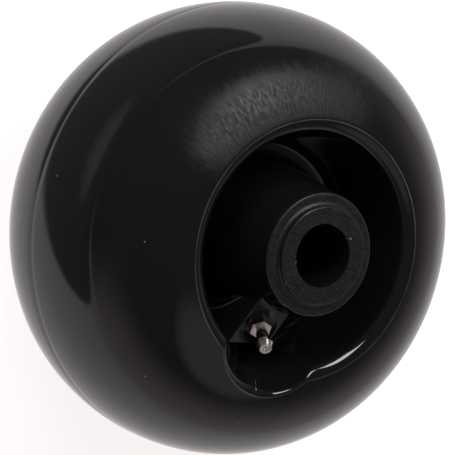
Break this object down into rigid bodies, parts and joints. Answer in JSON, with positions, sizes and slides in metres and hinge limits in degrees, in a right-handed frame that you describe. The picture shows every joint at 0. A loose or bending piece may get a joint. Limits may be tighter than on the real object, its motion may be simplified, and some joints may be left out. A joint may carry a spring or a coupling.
{
  "type": "wheel",
  "caption": "Black moulded barrel wheel with a long hub for a plain axle, deep side pockets and a grease fitting, for carrying the deck of a mowing machine",
  "frame": {"origin": "Middle of the wheel, on the axle's axis", "axes": "+Z along the axle, towards the side that has the grease fitting; the fitting leans towards -Y"},
  "size_m": [0.1905, 0.1904, 0.138],
  "materials": {
    "black_plastic": "gloss black moulding, satin on the hub's ends",
    "plated_steel": "bright zinc plate",
    "ball_steel": "polished",
    "spring_steel": "drawn wire"
  },
  "bodies": {
    "wheel": {"wheel_body": "black_plastic", "grease_fitting": "plated_steel", "valve_spring": "spring_steel"},
    "ball": {"check_ball": "ball_steel"}
  },
  "joints": [
    {"name": "ball_slide", "type": "slide", "parent": "wheel", "child": "ball", "axis": [0, 0.5736, -0.8192], "range_m": [0, 0.001], "stiffness_N_per_m": 400, "springref_m": -0.0015, "deforming": ["valve_spring"]}
  ]
}
